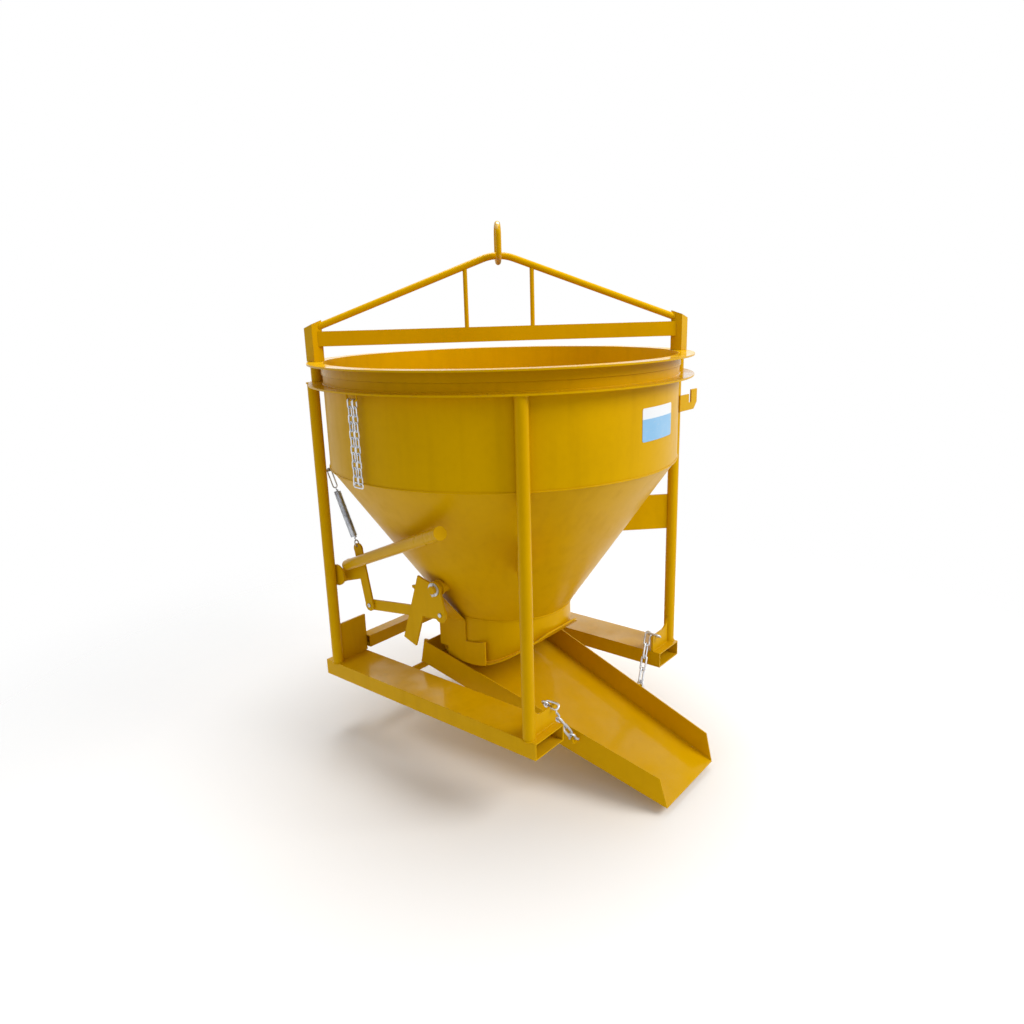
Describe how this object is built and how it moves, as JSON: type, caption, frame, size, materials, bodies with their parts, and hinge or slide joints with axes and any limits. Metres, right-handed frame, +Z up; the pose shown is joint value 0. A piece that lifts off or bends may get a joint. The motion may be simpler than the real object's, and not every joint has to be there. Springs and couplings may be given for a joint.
{
  "type": "concrete bucket",
  "caption": "Yellow hanging concrete bucket with round hopper, pipe-leg frame, fork pockets, bail, lever-worked pan gate and hooked-on pouring chute.",
  "frame": {"origin": "inner crown of the master link, where the lifting hook bears, with the link upright", "axes": "+Z up along the hopper's axis, -Y towards the chute's mouth, -X towards the lever"},
  "size_m": [1.3998, 1.5164, 1.9469],
  "materials": {
    "yellow_paint": "satin",
    "galvanised_steel": "matte",
    "spring_steel": "satin"
  },
  "bodies": {
    "bucket": {"hopper_shell": "yellow_paint", "hopper_cone": "yellow_paint", "outlet_throat": "yellow_paint", "rim_ring": "yellow_paint", "stiffening_ring": "yellow_paint", "leg_front_left": "yellow_paint", "leg_front_right": "yellow_paint", "leg_rear_left": "yellow_paint", "leg_rear_right": "yellow_paint", "fork_pocket_left": "yellow_paint", "fork_pocket_right": "yellow_paint", "rear_cross_member": "yellow_paint", "rear_gusset_plates": "yellow_paint", "front_foot_plates": "yellow_paint", "cone_gussets": "yellow_paint", "lifting_spacers": "yellow_paint", "lifting_posts": "yellow_paint", "lifting_beam": "yellow_paint", "bail_bar": "yellow_paint", "bail_struts": "yellow_paint", "chute_storage_hooks": "yellow_paint", "gate_pivot_pins": "yellow_paint", "gate_pin_washers": "galvanised_steel", "gate_split_pins": "galvanised_steel", "lever_bracket": "yellow_paint", "lever_pivot_pin": "galvanised_steel", "lever_pivot_nut": "galvanised_steel", "spring_anchor": "galvanised_steel", "spring_link": "galvanised_steel", "return_spring": "spring_steel", "chute_hanger_bar": "yellow_paint", "chute_chain_left": "galvanised_steel", "chute_chain_right": "galvanised_steel", "chain_staple": "yellow_paint"},
    "master_link": {"master_link": "yellow_paint"},
    "gate": {"gate_pan": "yellow_paint", "gate_hanger_left": "yellow_paint", "gate_hanger_right": "yellow_paint", "gate_bushes": "yellow_paint", "gate_operating_arm": "yellow_paint", "gate_drive_pin": "galvanised_steel"},
    "lever": {"lever_hub": "yellow_paint", "crank_bar": "yellow_paint", "crank_pin": "galvanised_steel", "handle_tube": "yellow_paint", "handle_cap": "yellow_paint", "spring_eye": "galvanised_steel"},
    "link": {"connecting_link": "yellow_paint"},
    "chute": {"chute_tray": "yellow_paint", "chute_hook_ears": "yellow_paint", "chute_chain_lugs": "yellow_paint", "chute_shackles": "galvanised_steel"},
    "tie_chain": {"tie_chain": "galvanised_steel", "tie_chain_link": "galvanised_steel"}
  },
  "joints": [
    {"name": "master_link_swing", "type": "hinge", "parent": "bucket", "child": "master_link", "pos_m": [0, 0, -0.09725], "axis": [-0.7009, 0.7133, 0], "range_deg": [-90, 90]},
    {"name": "gate_swing", "type": "hinge", "parent": "bucket", "child": "gate", "pos_m": [0, 0, -1.24325], "axis": [1, 0, 0], "range_deg": [0, 24.3]},
    {"name": "lever_pull", "type": "hinge", "parent": "bucket", "child": "lever", "pos_m": [-0.42, 0.50489, -1.29425], "axis": [1, 0, 0], "range_deg": [0, 18], "stiffness_Nm_per_rad": 60, "springref_deg": -34.38, "deforming": ["return_spring"]},
    {"name": "link_swing", "type": "hinge", "parent": "lever", "child": "link", "pos_m": [-0.399, 0.36089, -1.38625], "axis": [1, 0, 0], "range_deg": [-24, 0]},
    {"name": "chute_tilt", "type": "hinge", "parent": "bucket", "child": "chute", "pos_m": [0, 0.238, -1.66325], "axis": [-1, 0, 0], "range_deg": [0, 4], "deforming": ["chute_chain_left", "chute_chain_right"]},
    {"name": "tie_chain_swing", "type": "hinge", "parent": "bucket", "child": "tie_chain", "pos_m": [-0.66993, 0.05272, -0.54725], "axis": [0.0785, 0.9969, 0], "range_deg": [-1, 75]}
  ],
  "couplings": [
    {"joint": "lever_pull", "follows": "gate_swing", "ratio": 0.74074},
    {"joint": "link_swing", "follows": "gate_swing", "ratio": -0.9704}
  ]
}
